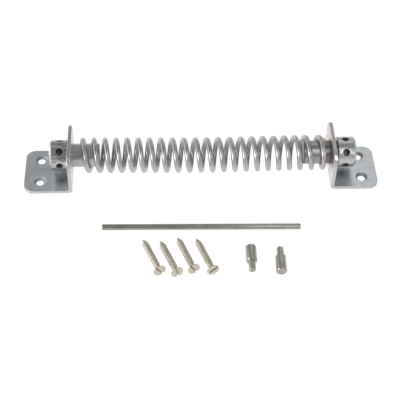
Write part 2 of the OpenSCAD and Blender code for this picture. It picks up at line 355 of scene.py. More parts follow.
def stretched(tree, vector, by):
    """A vector with its X, Y and Z each multiplied by a number of its own."""
    node = add_node(tree, "ShaderNodeVectorMath", operation="MULTIPLY")
    feed(tree, node.inputs[0], vector)
    feed(tree, node.inputs[1], by)
    return node.outputs["Vector"]


def blended(tree, share, one, two, kind=None):
    """A mix of two colours or of two numbers by a share."""
    kind = kind or ("FLOAT" if isinstance(two, float) else "RGBA")
    mix = add_node(tree, "ShaderNodeMix", {"Factor": share}, data_type=kind)
    first, second, result = {"FLOAT": (2, 3, 0), "RGBA": (6, 7, 2)}[kind]
    feed(tree, mix.inputs[first], one)
    feed(tree, mix.inputs[second], two)
    return mix.outputs[result]


# Shader groups that several finishes share

# The middle part of a noise that makes a whole drift of colour or of sheen, and how much finer the sheen is
COLOUR_SPREAD = (0.36, 0.64)
SHEEN_SPREAD = (0.3, 0.7)
SHEEN_FINENESS = 3.7


def plating_clouds():
    """Soft clouds in a plated finish: a colour and a roughness that drift over the surface."""
    tree, given, result = new_tree(
        "plating clouds", "ShaderNodeTree",
        {"Vector": "Vector", "Scale": "Float", "Light": "Color", "Dark": "Color",
         "Smooth": "Float", "Rough": "Float"},
        {"Colour": "Color", "Roughness": "Float"},
    )
    broad = add_node(tree, "ShaderNodeTexNoise", {
        "Vector": given["Vector"], "Scale": given["Scale"], "Detail": 5.0, "Roughness": 0.62})
    fine = add_node(tree, "ShaderNodeTexNoise", {
        "Vector": given["Vector"], "Scale": given["Scale"] * SHEEN_FINENESS, "Detail": 3.0})
    spread = Term(tree, broad.outputs["Fac"]).ramp(*COLOUR_SPREAD)
    sheen = Term(tree, fine.outputs["Fac"]).ramp(*SHEEN_SPREAD, given["Smooth"], given["Rough"])
    feed_inputs(tree, result, {
        "Colour": blended(tree, spread, given["Dark"], given["Light"]), "Roughness": sheen})
    return tree


def fine_grain():
    """Grain whose cells can be drawn out along one way: a height for a bump."""
    tree, given, result = new_tree(
        "fine grain", "ShaderNodeTree",
        {"Vector": "Vector", "Cells": "Vector", "Detail": "Float"},
        {"Height": "Float"},
    )
    noise = add_node(tree, "ShaderNodeTexNoise", {
        "Vector": stretched(tree, given["Vector"], given["Cells"]), "Scale": 1.0,
        "Detail": given["Detail"], "Roughness": 0.6})
    feed_inputs(tree, result, {"Height": noise.outputs["Fac"]})
    return tree


SHARED = {"plating clouds": plating_clouds, "fine grain": fine_grain}


def shared(tree, name, inputs):
    """A shared shader group placed in a material with its own values: its outputs."""
    group = bpy.data.node_groups.get(name) or SHARED[name]()
    return add_node(tree, "ShaderNodeGroup", inputs, node_tree=group).outputs


# Finishes

def new_material(name, metallic):
    """A material with a plain Principled shader: the material, its tree and the shader."""
    material = bpy.data.materials.new(name)
    material.use_nodes = True
    tree = material.node_tree
    tree.nodes.clear()
    shader = add_node(tree, "ShaderNodeBsdfPrincipled", {"Metallic": metallic})
    add_node(tree, "ShaderNodeOutputMaterial", {"Surface": shader.outputs["BSDF"]})
    return material, tree, shader


def scaled(shade, share=1.0):
    """A colour with a full alpha, lighter or darker by a share."""
    return (*(min(1.0, part * share) for part in shade), 1.0)


def object_coordinates(tree):
    """Coordinates in metres, fixed to the piece."""
    return tree.nodes.new("ShaderNodeTexCoord").outputs["Object"]


def marked(tree, name):
    """A number that the piece's own faces or points carry."""
    return Term(tree, add_node(tree, "ShaderNodeAttribute", attribute_name=name).outputs["Fac"])


# How light the lightest clouds of a metal are
LIGHTEST = 1.06


def plated_metal(
        name, shade, clouds, roughness, cells, bump,
        coordinates=object_coordinates, darkest=0.88, detail=3.0):
    """A metal with drifting clouds and a grain: used by every metal here with its own values."""
    material, tree, shader = new_material(name, 1.0)
    vector = coordinates(tree)
    smooth, rough = roughness
    strength, depth = bump
    drift = shared(tree, "plating clouds", {
        "Vector": vector, "Scale": clouds, "Light": scaled(shade, LIGHTEST), "Dark": scaled(shade, darkest),
        "Smooth": smooth, "Rough": rough})
    grain = shared(tree, "fine grain", {"Vector": vector, "Cells": cells, "Detail": detail})
    raised = add_node(tree, "ShaderNodeBump", {
        "Height": grain["Height"], "Strength": strength, "Distance": depth})
    feed_inputs(tree, shader, {
        "Base Color": drift["Colour"], "Roughness": drift["Roughness"], "Normal": raised.outputs["Normal"]})
    return material, tree, shader, drift


# Heights between which the uprights take their warm tint, how far it goes, and where their edges turn from
# painted light low down to dull
BLUSH_SPAN = (3 * MM, 9 * MM)
BLUSH_MOST = 0.8
PAINTED_EDGE_LIGHT_SPAN = (22 * MM, 30 * MM)
# Where a glint is painted on the uprights' front corners, and how far that painted glint reaches
GLINT_Y = FRONT_Y + 2.7 * MM
GLINT_Z = FOOT_HIGH.z - 1.8 * MM
GLINT_REACH = 3.5 * MM
# Shades of the zinc low on the edges (painted light, standing for the floor's reflection), on the front
# corners (a painted glint) and in the screw holes (painted shade)
PAINTED_EDGE_LIGHT = 0.92
PAINTED_GLINT_LIGHT = 1.5
SINK_PAINTED_SHADE = 0.6
# Roughness of the edges, of the glinting front corners and of the screw holes
EDGE_ROUGHNESS = 0.45
GLINT_ROUGHNESS = 0.2
SUNK_ROUGHNESS = 0.65


def zinc_plate_finish(finish):
    """Bright zinc on pressed plate: bluish feet, warmer uprights, dull edges with painted light low down, a
    painted glint on each front corner and painted shade in the screw holes.
    """
    material, tree, shader, drift = plated_metal(
        "zinc_plate", finish.zinc, clouds=55.0, roughness=(0.32, 0.42), cells=(2600.0, 2600.0, 2600.0),
        bump=(0.2, 0.05 * MM))
    sheared = marked(tree, "sheared")
    sunk = marked(tree, "sunk")
    _, y, z = split(tree, object_coordinates(tree))
    # A painted glint on each upright's front corner: lighter zinc there, and a smoother finish
    back = y - GLINT_Y
    up = z - GLINT_Z
    away = (back * back + up * up).math("SQRT")
    painted_glint = away.ramp(GLINT_REACH / 2, GLINT_REACH, 1.0, 0.0)
    face = blended(tree, z.ramp(*BLUSH_SPAN, high=BLUSH_MOST), drift["Colour"], scaled(finish.zinc_blush))
    # Edges: lighter zinc low down as a painted reflection of the white floor, dull sheared zinc higher up
    edge = blended(tree, z.ramp(*PAINTED_EDGE_LIGHT_SPAN), scaled(finish.zinc, PAINTED_EDGE_LIGHT), scaled(finish.sheared))
    edge = blended(tree, painted_glint, edge, scaled(finish.zinc, PAINTED_GLINT_LIGHT))
    plate = blended(tree, sheared, face, edge)
    edge_sheen = blended(tree, painted_glint, EDGE_ROUGHNESS, GLINT_ROUGHNESS)
    sheen = blended(tree, sheared, drift["Roughness"], edge_sheen, "FLOAT")
    # The countersinks: a darker zinc as painted shade, and a rougher finish
    feed_inputs(tree, shader, {
        "Base Color": blended(tree, sunk, plate, scaled(finish.zinc, SINK_PAINTED_SHADE)),
        "Roughness": blended(tree, sunk, sheen, SUNK_ROUGHNESS)})
    return material


# How far from an upright the painted shade on its shank fades, and what share of it stays beyond
PAINTED_SHADE_REACH = 9 * MM
PAINTED_SHADE_LEAST = 0.5
# How much the mottling is drawn out along the axis, and the roughness of the winding holes
MOTTLE_STRETCH = 4.0
DRILLED_ROUGHNESS = 0.7


def spindle_coordinates(tree):
    """Coordinates in metres, drawn out along the spindles' axis."""
    return stretched(tree, object_coordinates(tree), (1 / MOTTLE_STRETCH, 1.0, 1.0))


def turned_zinc_finish(finish):
    """Zinc over a turned surface: rings round the axis under short dashes along it, with painted shade beside
    the uprights and in the winding holes, and a mottle that leaves the drums' lower part lighter as painted
    light.
    """
    material, tree, shader, drift = plated_metal(
        "turned_zinc", finish.turned, clouds=800.0, roughness=(0.28, 0.38), cells=(9600.0, 900.0, 900.0),
        bump=(0.3, 0.08 * MM), coordinates=spindle_coordinates, darkest=0.25)
    drilled = marked(tree, "drilled")
    x, _, _ = split(tree, object_coordinates(tree))
    face = MID_X - FACE_X
    beside = (x - MID_X).math("ABSOLUTE").ramp(face - PAINTED_SHADE_REACH, face, low=PAINTED_SHADE_LEAST)
    # Painted shade on each shank beside its upright, fading away from it
    stained = marked(tree, "stained") * beside
    # Mottle on the drums: random tone, and painted shade on the upper part and on the left drum
    drum = blended(tree, marked(tree, "mottled"), scaled(finish.turned), drift["Colour"])
    spindle = blended(tree, stained, drum, scaled(finish.stain))
    feed_inputs(tree, shader, {
        # The winding holes' walls take the painted shade
        "Base Color": blended(tree, drilled, spindle, scaled(finish.hole)),
        "Roughness": blended(tree, drilled, drift["Roughness"], DRILLED_ROUGHNESS)})
    return material


def wire_coordinates(tree):
    """Coordinates that follow the wire: its run, and its way round."""
    way = add_node(tree, "ShaderNodeAttribute", attribute_name="wire_round")
    x, y, _ = split(tree, way.outputs["Vector"])
    return joined(tree, marked(tree, "wire_run"), x, y)


def spring_wire_finish(finish):
    """Zinc on drawn wire, with faint lines along it."""
    return plated_metal(
        "spring_wire", finish.wire, clouds=60.0, roughness=(0.28, 0.30), cells=(12.0, 500.0, 500.0),
        bump=(0.05, 0.03 * MM), coordinates=wire_coordinates, detail=1.0)[0]


def bar_steel_finish(finish):
    """Bare drawn steel, with lines along the bar."""
    return plated_metal(
        "bar_steel", finish.bar, clouds=70.0, roughness=(0.28, 0.40), cells=(60.0, 2200.0, 2200.0),
        bump=(0.35, 0.08 * MM))[0]


def pin_steel_finish(finish):
    """Bare turned steel, with rings round the pins."""
    return plated_metal(
        "pin_steel", finish.pin, clouds=180.0, roughness=(0.28, 0.32), cells=(700.0, 3200.0, 700.0),
        bump=(0.12, 0.05 * MM))[0]


# How much lighter the flat of a screw's head is, as painted light
PAINTED_HEAD_LIGHT = 1.2


def screw_nickel_finish(finish):
    """Nickel, dull and grainy over the rolled thread, with painted light on the flat of the head."""
    material, tree, shader, drift = plated_metal(
        "screw_nickel", finish.nickel, clouds=260.0, roughness=(0.48, 0.60), cells=(2600.0, 2600.0, 2600.0),
        bump=(0.4, 0.08 * MM))
    # Painted light on the flat of the head
    head = blended(tree, marked(tree, "head"), drift["Colour"], scaled(finish.nickel, PAINTED_HEAD_LIGHT))
    feed(tree, shader.inputs["Base Color"], head)
    return material


# The floor's own light: its share over the floor's colour, and its level to the camera
GLOW_SHARE = 0.86
CAMERA_GLOW = 1.13
# Its level to metal, which rises between two places along Y
METAL_GLOW = (0.25, 1.06)
METAL_GLOW_SPAN = (-0.6, -0.28)
FLOOR_ROUGHNESS = 0.9


def floor_finish(finish):
    """A pale floor that looks white and still takes a soft shadow."""
    material, tree, shader = new_material("pale_floor", 0.0)
    feed_inputs(tree, shader, {
        "Base Color": scaled(finish.floor), "Roughness": FLOOR_ROUGHNESS, "Specular IOR Level": 0.0})
    rays = tree.nodes.new("ShaderNodeLightPath").outputs
    camera = Term(tree, rays["Is Camera Ray"])
    seen = camera.at_least(rays["Is Glossy Ray"]).at_least(rays["Is Transmission Ray"])
    _, y, _ = split(tree, object_coordinates(tree))
    paper = y.ramp(*METAL_GLOW_SPAN, *METAL_GLOW, kind="SMOOTHSTEP")
    glow = add_node(tree, "ShaderNodeEmission", {
        "Color": WHITE, "Strength": (camera * CAMERA_GLOW).at_least(paper)})
    mix = tree.nodes.new("ShaderNodeMixShader")
    mixed = (seen * GLOW_SHARE, shader.outputs["BSDF"], glow.outputs["Emission"])
    for socket, value in zip(mix.inputs, mixed):
        feed(tree, socket, value)
    feed(tree, tree.nodes["Material Output"].inputs["Surface"], mix.outputs["Shader"])
    return material


# Shapes

def stepped(*steps):
    """A profile of (distance, radius) points, from steps of (start, end, radius, start bevel, end bevel)."""
    points = [(steps[0][0], 0.0)]
    for start, end, radius, start_bevel, end_bevel in steps:
        points += [(start, radius - start_bevel), (start + start_bevel, radius)]
        points += [(end - end_bevel, radius), (end, radius - end_bevel)]
    points.append((steps[-1][1], 0.0))
    return list(dict.fromkeys(points))


def softened(profile, radius, steps=3, most=0.45):
    """A profile of (distance, radius) points with its corners rounded, over at most a share of each side."""
    points = [Vector(point) for point in profile]
    result = [points[0]]
    for before, corner, after in zip(points, points[1:], points[2:]):
        back = before - corner
        ahead = after - corner
        half = back.angle(ahead) / 2
        setback = min(radius / math.tan(half), most * back.length, most * ahead.length)
        bisector = (back.normalized() + ahead.normalized()).normalized()
        centre = corner + bisector * (setback / math.cos(half))
        start = corner + back.normalized() * setback - centre
        end = corner + ahead.normalized() * setback - centre
        for step in range(steps + 1):
            arm = start.slerp(end, step / steps).normalized() * start.length
            result.append(centre + arm)
    result.append(points[-1])
    return result


def turned_mesh(name, profile, segments):
    """A closed solid turned about +X, from (distance, radius) points that start and end on the axis."""
    work = bmesh.new()
    rings = []
    for along, radius in profile:
        if radius < TINY:
            rings.append([work.verts.new((along, 0.0, 0.0))])
            continue
        ring = []
        for k in range(segments):
            turn = math.tau * k / segments
            ring.append(work.verts.new((along, radius * math.cos(turn), radius * math.sin(turn))))
        rings.append(ring)
    for one, two in zip(rings, rings[1:]):
        for k in range(segments):
            corners = [one[k % len(one)], one[(k + 1) % len(one)], two[(k + 1) % len(two)], two[k % len(two)]]
            work.faces.new(list(dict.fromkeys(corners)))
    return meshed(work, name)


def meshed(work, name):
    """A mesh from a bmesh, with its faces turned outward."""
    bmesh.ops.recalc_face_normals(work, faces=work.faces)
    mesh = bpy.data.meshes.new(name)
    work.to_mesh(mesh)
    work.free()
    return mesh


def shown_mesh(piece):
    """The plain mesh of an object with its modifiers worked out."""
    bpy.context.view_layer.update()
    graph = bpy.context.evaluated_depsgraph_get()
    return bpy.data.meshes.new_from_object(
        piece.evaluated_get(graph), preserve_all_data_layers=True, depsgraph=graph)


def new_object(name, mesh):
    """An object at the origin, in the scene."""
    piece = bpy.data.objects.new(name, mesh)
    bpy.context.scene.collection.objects.link(piece)
    return piece


def carved(mesh, cutters):
    """The mesh with each cutter taken out of it."""
    blank = new_object("blank", mesh)
    tools = [new_object("cutter", cutter) for cutter in cutters]
    for tool in tools:
        cut = blank.modifiers.new("cut", "BOOLEAN")
        cut.operation = "DIFFERENCE"
        cut.solver = "EXACT"
        cut.object = tool
    result = shown_mesh(blank)
    result.name = mesh.name
    for spare in (blank, *tools):
        bpy.data.objects.remove(spare)
    return result


def mark_faces(mesh, name, mark):
    """Writes a number on every face of a mesh, as a function of the face gives it."""
    layer = mesh.attributes.new(name, "FLOAT", "FACE")
    for face in mesh.polygons:
        layer.data[face.index].value = mark(face)


# Angle in degrees past which an edge of a turned piece stays sharp
TURNED_SHARP = 12.0


def add_piece(name, mesh, material, body, node, sharp=30.0):
    """A finished piece that stands for a node, rides on its body and takes its finish from a slot."""
    mesh.materials.clear()
    mesh.materials.append(material)
    mesh.shade_smooth()
    mesh.set_sharp_from_angle(angle=math.radians(sharp))
    piece = new_object(name, mesh)
    if body:
        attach(piece, body)
    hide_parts(node)
    return piece


# Brackets

# How far inside an edge the plate's flat faces begin
FLAT_MARGIN = 0.3 * MM


def rounded_outline(low, high, corner, inset, steps=10):
    """A rectangle with round corners, drawn in by an inset."""
    radius = corner - inset
    centres = [
        (high[0] - corner, high[1] - corner), (low[0] + corner, high[1] - corner),
        (low[0] + corner, low[1] + corner), (high[0] - corner, low[1] + corner)]
    points = []
    for quarter, (x, y) in enumerate(centres):
        for step in range(steps + 1):
            turn = QUARTER * (quarter + step / steps)
            points.append((x + radius * math.cos(turn), y + radius * math.sin(turn)))
    return points


def circle(centre, radius, segments=48):
    """Points of a circle."""
    turns = [math.tau * k / segments for k in range(segments)]
    return [(centre[0] + radius * math.cos(t), centre[1] + radius * math.sin(t)) for t in turns]


def lifted(points, height):
    """Flat points at a height."""
    return [(x, y, height) for x, y in points]


def rim(edge, plate, steps=4):
    """How a plate's rounded rim runs from its lower face to its upper one, as (inset, height) points."""
    turns = [QUARTER * step / steps for step in range(steps + 1)]
    lower = [(edge + FLAT_MARGIN, 0.0)]
    lower += [(edge * (1 - math.sin(t)), edge * (1 - math.cos(t))) for t in turns]
    upper = [(inset, plate - height) for inset, height in reversed(lower)]
    return lower + upper


def wall(work, loops):
    """Quads between neighbouring loops: the edges of the first loop and of the last one."""
    rows = [[work.verts.new(point) for point in loop] for loop in loops]
    sides = len(rows[0])
    for one, two in zip(rows, rows[1:]):
        for k in range(sides):
            work.faces.new((one[k], one[(k + 1) % sides], two[(k + 1) % sides], two[k]))
    ends = []
    for row in (rows[0], rows[-1]):
        ends.append([work.edges.get((row[k], row[(k + 1) % sides])) for k in range(sides)])
    return ends


def flat_bracket(sizes, straight, bend_length):
    """The bracket's plate before it is bent: X runs from the foot's outer edge, Z is its thickness."""
    work = bmesh.new()
    width = FOOT_HIGH.y - FOOT_LOW.y
    outer_bend = sizes.bend + sizes.plate
    whole = straight + bend_length + FOOT_HIGH.z - outer_bend
    low = (0.0, -width / 2)
    high = (whole, width / 2)
    rounds = rim(sizes.edge, sizes.plate)
    outline = [
        lifted(rounded_outline(low, high, sizes.corner, inset), height) for inset, height in rounds]

    bore_place = (straight + bend_length + AXIS_Z - outer_bend, 0.0)
    bore = [
        lifted(circle(bore_place, sizes.bore / 2 + inset, segments=96), height) for inset, height in rounds]

    hole = sizes.hole / 2
    lip = sizes.edge / 2
    steps = [
        (hole + lip, 0.0), (hole, lip), (hole, sizes.plate - sizes.sink),
        (hole + sizes.sink - lip, sizes.plate - lip), (hole + sizes.sink + lip / 2, sizes.plate),
        (hole + sizes.sink + FLAT_MARGIN, sizes.plate)]
    holes = []
    for side in (-1, 1):
        place = (-FOOT_LOW.x, side * sizes.spacing / 2)
        holes.append([lifted(circle(place, radius), height) for radius, height in steps])

    lower = []
    upper = []
    for loops in (outline, bore, *holes):
        first, last = wall(work, loops)
        lower += first
        upper += last
    for edges in (lower, upper):
        bmesh.ops.triangle_fill(work, edges=edges, use_beauty=True)
    sheared = work.faces.layers.float.new("sheared")
    sunk = work.faces.layers.float.new("sunk")
    for face in work.faces:
        x, y, height = face.calc_center_median()
        from_hole = math.hypot(x + FOOT_LOW.x, abs(y) - sizes.spacing / 2)
        cut = lip < height < sizes.plate - lip
        in_hole = from_hole < hole + sizes.sink
        face[sheared] = float(cut and not in_hole)
        face[sunk] = float(cut and in_hole)
    return work


def bracket_mesh(sizes, bend_steps=8):
    """The left bracket: a flat plate bent up into a foot and an upright."""
    outer_bend = sizes.bend + sizes.plate
    straight = FACE_X - FOOT_LOW.x - outer_bend
    bend_length = QUARTER * (sizes.bend + sizes.plate / 2)
    work = flat_bracket(sizes, straight, bend_length)
    seams = [straight + bend_length * step / bend_steps for step in range(bend_steps + 1)]
    for seam in (straight - FLAT_MARGIN, *seams, straight + bend_length + FLAT_MARGIN):
        everything = list(work.verts) + list(work.edges) + list(work.faces)
        bmesh.ops.bisect_plane(work, geom=everything, plane_co=(seam, 0, 0), plane_no=(1, 0, 0), dist=TINY)
    centre_x = FACE_X - outer_bend
    for vertex in work.verts:
        along, across, depth = vertex.co
        turn = QUARTER * min(1.0, max(0.0, (along - straight) / bend_length))
        radius = outer_bend - depth
        before = min(0.0, along - straight)
        after = max(0.0, along - straight - bend_length)
        vertex.co = (
            centre_x + before + radius * math.sin(turn),
            across,
            outer_bend - radius * math.cos(turn) + after,
        )
    return meshed(work, "bracket")


def mirrored(mesh):
    """The same shape at the other end of the span."""
    copy = mesh.copy()
    copy.transform(Matrix.Translation((2 * MID_X, 0, 0)) @ Matrix.Diagonal((-1, 1, 1, 1)))
    copy.flip_normals()
    return copy


class GATECLOSER_OT_brackets(Operator):
    """Make the two plate brackets"""

    bl_idname = "gate_closer.brackets"
    bl_label = "Brackets"

    def execute(self, context):
        settings = context.scene.gate_closer
        finish = zinc_plate_finish(settings.finish)
        left = bracket_mesh(settings.bracket)
        for node, mesh in (("left_bracket", left), ("right_bracket", mirrored(left))):
            add_piece(node + "_plate", mesh, finish, node, node)
        return {"FINISHED"}


# Spindles

# Segments round a spindle, a winding hole and a hook's hole, and how far a cutter goes past the drum
SPINDLE_SEGMENTS = 144
WINDING_HOLE_SEGMENTS = 48
HOOK_HOLE_SEGMENTS = 40
CUTTER_PAST = 2 * MM
# From which share of its radius upward a drum is mottled most, and how mottled the rest is: the dark mottle
# on top leaves the lower part lighter, as a painted reflection
MOTTLE_AND_SHADE_HEIGHT = 0.32
MOTTLE_BELOW_PAINTED_LIGHT = 0.3


def spindle_blank(sizes, drum_start, drum_end):
    """A spindle before it is drilled: a drum and a shank."""
    drum = sizes.drum / 2
    shank = sizes.shank / 2
    profile = stepped(
        (drum_start, drum_end, drum, sizes.drum_bevel, sizes.inner_bevel),
        (drum_end, DRUM_HIGH.x, shank, 0.0, sizes.shank_bevel))
    return turned_mesh("spindle", softened(profile, sizes.edge), SPINDLE_SEGMENTS)


def winding_holes(sizes, drum_start, first_turn):
    """Cutters for the winding holes round a drum."""
    drum = sizes.drum / 2
    hole = sizes.hole / 2
    bottom = drum - sizes.hole_depth
    mouth = drum - sizes.mouth
    past = drum + CUTTER_PAST
    profile = [(bottom, 0.0), (bottom, hole), (mouth, hole), (past, hole + past - mouth), (past, 0.0)]
    middle = Matrix.Translation((drum_start + sizes.inset, 0, 0))
    step = math.tau / sizes.holes
    cutters = []
    for number in range(sizes.holes):
        cutter = turned_mesh("winding_hole", profile, WINDING_HOLE_SEGMENTS)
        outward = Matrix.Rotation(math.pi - first_turn - number * step, 4, "X")
        cutter.transform(middle @ outward @ Matrix.Rotation(QUARTER, 4, "Z"))
        cutters.append(cutter)
    return cutters


def hook_hole(spring, anchor, side):
    """A cutter for the hole in a shank that an end of the spring is hooked into."""
    mean = (spring.outside - spring.wire) / 2
    tip = mean - spring.hook_bend - spring.hook_length - spring.hook_play
    radius = spring.wire / 2 + spring.hook_play
    cutter = turned_mesh("hook_hole", stepped((0.0, mean, radius, 0.0, 0.0)), HOOK_HOLE_SEGMENTS)
    place = Matrix.Translation((FACE_X + anchor, tip, side * spring.hook_bend))
    cutter.transform(place @ Matrix.Rotation(QUARTER, 4, "Z"))
    return cutter


def spindle_mesh(sizes, spring, drum_start, hole_turn, anchor, hook_side, stain, mottle_and_shade):
    """The left spindle, or the right one before it is mirrored: a drum, its holes and a shank."""
    drum_end = drum_start + sizes.drum_length
    drum = sizes.drum / 2
    cutters = winding_holes(sizes, drum_start, hole_turn)
    cutters.append(hook_hole(spring, anchor, hook_side))
    mesh = carved(spindle_blank(sizes, drum_start, drum_end), cutters)

    def drilled(face):
        x, y, z = face.center
        on_drum = drum_start + sizes.drum_bevel < x < drum_end - sizes.inner_bevel
        return float(on_drum and math.hypot(y, z) < drum - sizes.mouth)

    # Shank faces that take the painted shade beside the upright
    def stained(face):
        return stain if face.center.x > drum_end else 0.0

    # Full mottle on the drum's upper part and less below, so the lower part stays lighter as painted light
    def mottled(face):
        on_drum = drum_start + sizes.drum_bevel / 2 < face.center.x < drum_end
        on_top = face.center.z > MOTTLE_AND_SHADE_HEIGHT * drum
        return mottle_and_shade if on_drum and on_top else MOTTLE_BELOW_PAINTED_LIGHT * mottle_and_shade

    mark_faces(mesh, "drilled", drilled)
    mark_faces(mesh, "stained", stained)
    mark_faces(mesh, "mottled", mottled)
    mesh.transform(Matrix.Translation((0, 0, AXIS_Z)))
    return mesh


class GATECLOSER_OT_spindles(Operator):
    """Turn and drill the two winding spindles"""

    bl_idname = "gate_closer.spindles"
    bl_label = "Winding spindles"

    def execute(self, context):
        settings = context.scene.gate_closer
        sizes = settings.spindle
        spring = settings.spring
        finish = turned_zinc_finish(settings.finish)
        left = spindle_mesh(
            sizes, spring, DRUM_LOW.x, sizes.left_turn, spring.left_anchor, -1,
            sizes.left_painted_shade, sizes.left_mottle_and_shade)
        right = mirrored(spindle_mesh(
            sizes, spring, RIGHT_DRUM_X, sizes.right_turn, spring.right_anchor, 1,
            sizes.right_painted_shade, sizes.right_mottle_and_shade))
        for side, mesh in (("left", left), ("right", right)):
            node = side + "_spindle"
            add_piece(node + "_turned", mesh, finish, side + "_hub", node, TURNED_SHARP)
        return {"FINISHED"}


# Wound shapes

def measured_line(tree, rings):
    """A line of so many points, for a path to be laid along, and each point's share of the way."""
    line = add_node(tree, "GeometryNodeCurvePrimitiveLine")
    path = add_node(tree, "GeometryNodeResampleCurve", {"Curve": line.outputs["Curve"], "Count": rings})
    share = Term(tree, tree.nodes.new("GeometryNodeSplineParameter").outputs["Factor"])
    return path.outputs["Curve"], share


def laid(tree, path, x, y, z):
    """The path with its points at X, Y and Z."""
    return add_node(tree, "GeometryNodeSetPosition", {
        "Geometry": path, "Position": joined(tree, x, y, z)}).outputs["Geometry"]


def end_tree(tree, result, geometry, material):
    """Ends a tree with its instances made real and its finish set."""
    real = add_node(tree, "GeometryNodeRealizeInstances", {"Geometry": geometry})
    dressed = add_node(tree, "GeometryNodeSetMaterial", {
        "Geometry": real.outputs["Geometry"], "Material": material})
    feed(tree, result.inputs["Geometry"], dressed.outputs["Geometry"])


def grown(name, tree, values, mesh=None):
    """The plain mesh that a tree of nodes makes from named values."""
    piece = new_object(name, mesh or bpy.data.meshes.new(name))
    modifier = piece.modifiers.new(tree.name, "NODES")
    modifier.node_group = tree
    for item in tree.interface.items_tree:
        if item.in_out == "INPUT" and item.name in values:
            modifier[item.identifier] = values[item.name]
    result = shown_mesh(piece)
    piece.modifiers.clear()
    bpy.data.objects.remove(piece)
    return result


# Spring

def spring_tree():
    """Nodes that wind the wire along its helix and bend both ends into the shanks."""
    tree, given, result = new_tree(
        "wound spring", "GeometryNodeTree",
        {"Coil Diameter": "Float", "Wire Diameter": "Float", "Turns": "Float", "Left End": "Float",
         "Pitch": "Float", "First Wander": "Float", "Second Wander": "Float", "Hang": "Float", "Sag": "Float",
         "Last Turn Shift": "Float", "Shift Start": "Float", "Shift Whole": "Float",
         "Hook Bend": "Float", "Hook Length": "Float", "Hook Share": "Float", "Axis Height": "Float",
         "Rings": "Int", "Wire Sides": "Int", "Finish": "Material"},
        {"Geometry": "Geometry"},
    )
    path, share = measured_line(tree, given["Rings"])
    turns = given["Turns"]
    hook_share = given["Hook Share"]
    along = share * (turns + hook_share * 2.0) - hook_share
    wound = along.at_least(0.0).at_most(turns)
    past = (along * -1.0).at_least(along - turns).at_least(0.0)
    side = (along - turns / 2.0).math("SIGN")

    bend = given["Hook Bend"]
    hook_run = past / hook_share * (bend * QUARTER + given["Hook Length"])
    turn = (hook_run / bend).at_most(QUARTER)
    straight = (hook_run - bend * QUARTER).at_least(0.0)

    start = given["Shift Start"]
    whole = given["Shift Whole"]
    pushed = ((wound - turns + start) / (start - whole)).eased() - ((wound - turns + whole) / whole).eased()
    sway = wound / turns * math.pi
    wander = given["First Wander"] * sway.math("SINE") + given["Second Wander"] * (sway * 2.0).math("SINE")
    bow = sway.math("SINE") * sway.math("SINE")
    drop = given["Hang"] * wound.eased() * (turns - wound).eased() + given["Sag"] * bow
    radius = (given["Coil Diameter"] - given["Wire Diameter"]) / 2.0
    around = wound * math.tau
    x = given["Left End"] + given["Pitch"] * wound + wander + given["Last Turn Shift"] * pushed
    y = radius * around.math("COSINE") + bend * turn.math("COSINE") - bend - straight
    z = given["Axis Height"] - drop + radius * around.math("SINE") + side * bend * turn.math("SINE")
    run = add_node(tree, "GeometryNodeStoreNamedAttribute", {
        "Geometry": laid(tree, path, x, y, z), "Name": "wire_run",
        "Value": tree.nodes.new("GeometryNodeSplineParameter").outputs["Length"]})

    section = add_node(tree, "GeometryNodeCurvePrimitiveCircle", {
        "Resolution": given["Wire Sides"], "Radius": given["Wire Diameter"] / 2.0})
    way = add_node(tree, "GeometryNodeStoreNamedAttribute", {
        "Geometry": section.outputs["Curve"], "Name": "wire_round",
        "Value": tree.nodes.new("GeometryNodeInputPosition").outputs["Position"]}, data_type="FLOAT_VECTOR")
    wire = add_node(tree, "GeometryNodeCurveToMesh", {
        "Curve": run.outputs["Geometry"], "Profile Curve": way.outputs["Geometry"], "Fill Caps": True})
    end_tree(tree, result, wire.outputs["Mesh"], given["Finish"])
    return tree


class GATECLOSER_OT_spring(Operator):
    """Wind the torsion spring"""

    bl_idname = "gate_closer.spring"
    bl_label = "Torsion spring"

    rings_per_turn = 48
    wire_sides = 18
    # In turns: what a hook takes, and where the last turn's shift starts and is whole, from the right end
    hook_share = 0.25
    shift_start = 1.75
    shift_whole = 0.75

    def execute(self, context):
        settings = context.scene.gate_closer
        sizes = settings.spring
        finish = spring_wire_finish(settings.finish)
        left_end = FACE_X + sizes.left_anchor
        right_end = 2 * MID_X - FACE_X - sizes.right_anchor
        mesh = grown("spring_coil", spring_tree(), {
            "Coil Diameter": sizes.outside,
            "Wire Diameter": sizes.wire,
            "Turns": float(sizes.turns),
            "Left End": left_end,
            "Pitch": (right_end - left_end) / sizes.turns,
            "First Wander": sizes.first_wander,
            "Second Wander": sizes.second_wander,
            "Hang": sizes.hang,
            "Sag": sizes.sag,
            "Last Turn Shift": sizes.shift,
            "Shift Start": self.shift_start,
            "Shift Whole": self.shift_whole,
            "Hook Bend": sizes.hook_bend,
            "Hook Length": sizes.hook_length,
            "Hook Share": self.hook_share,
            "Axis Height": AXIS_Z,
            "Rings": round(self.rings_per_turn * (sizes.turns + 2 * self.hook_share)),
            "Wire Sides": self.wire_sides,
            "Finish": finish,
        })
        piece = add_piece("spring_coil", mesh, finish, None, "spring", sharp=50.0)
        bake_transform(piece)
        return {"FINISHED"}


# Loose pieces

# Segments round the bar and the pins, and round a screw
ROD_SEGMENTS = 64
SCREW_SEGMENTS = 48


